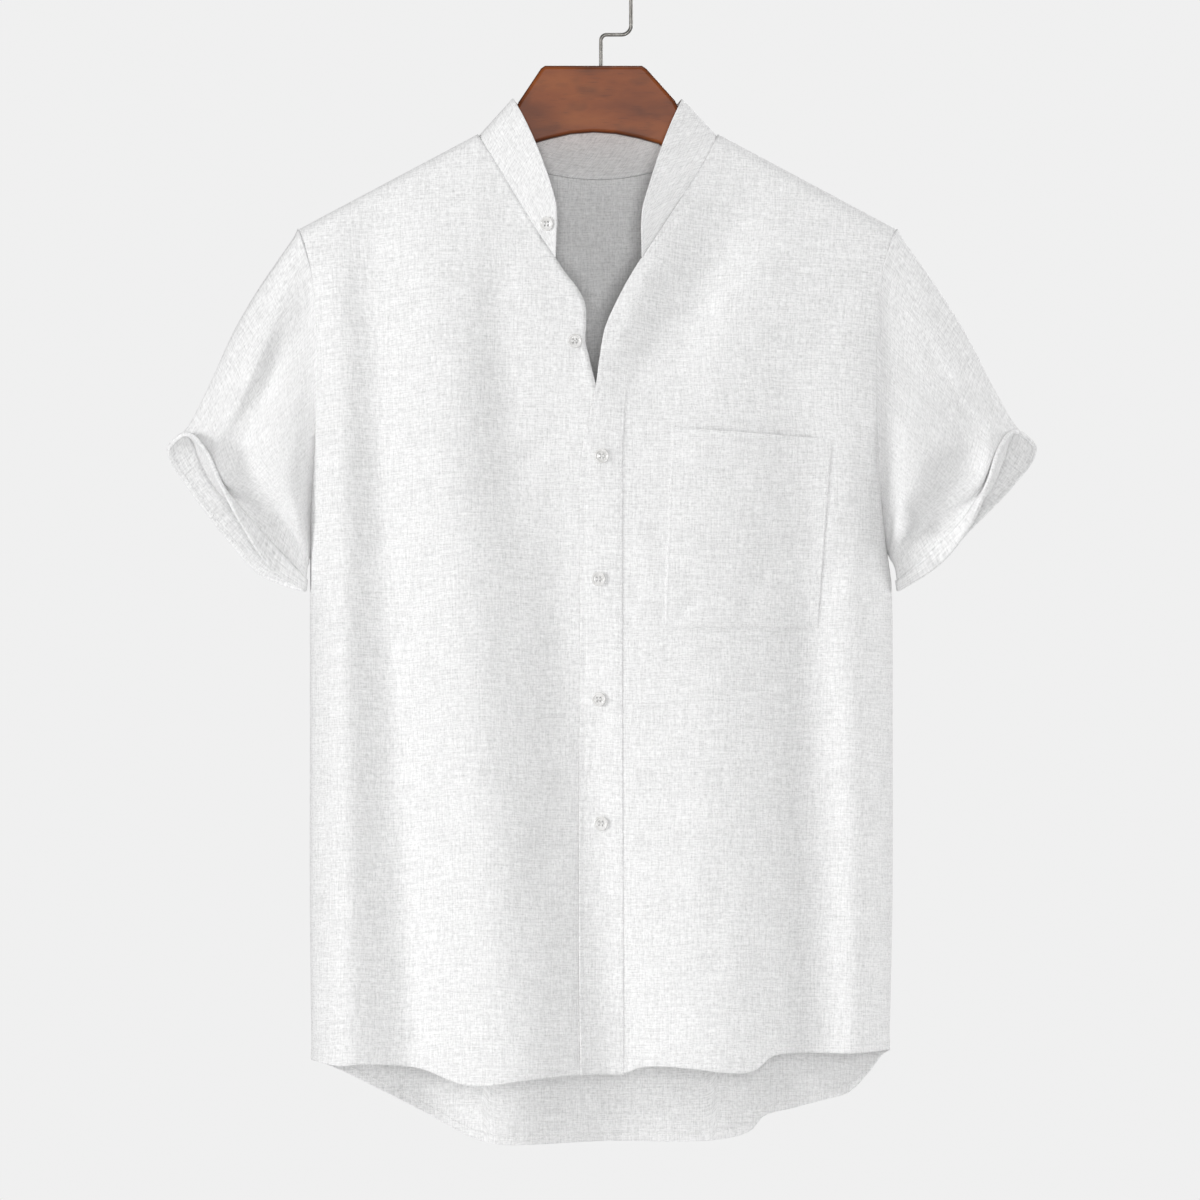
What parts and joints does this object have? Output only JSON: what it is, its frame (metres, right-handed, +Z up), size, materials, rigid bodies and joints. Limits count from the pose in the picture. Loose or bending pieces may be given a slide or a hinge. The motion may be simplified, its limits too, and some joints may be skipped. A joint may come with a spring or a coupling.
{
  "type": "mandarin collar shirt on a hanger",
  "caption": "Short-sleeved linen shirt with a band collar, button placket, chest pocket and turned-up cuffs, on a wooden hanger with a wire hook.",
  "frame": {"origin": "inside top of the hook's bend, where a rod carries the hanger", "axes": "+Z up, +X to the wearer's left, -Y the way the front faces"},
  "size_m": [0.6965, 0.1228, 0.9483],
  "materials": {
    "shirt_linen": "matt slubbed linen weave, white",
    "button_resin": "satin white resin",
    "hanger_wood": "varnished red-brown wood",
    "hook_wire": "dull nickel wire"
  },
  "bodies": {
    "root": {"hanger_wood": "hanger_wood", "hanger_hook": "hook_wire", "front_right": "shirt_linen", "front_left": "shirt_linen", "placket": "shirt_linen", "collar_band": "shirt_linen", "sleeve_right": "shirt_linen", "sleeve_left": "shirt_linen", "cuff_right": "shirt_linen", "cuff_left": "shirt_linen", "chest_pocket": "shirt_linen", "back_panel": "shirt_linen", "button_collar": "button_resin", "button_chest": "button_resin", "button_1": "button_resin", "button_2": "button_resin", "button_3": "button_resin", "button_4": "button_resin"}
  },
  "joints": []
}
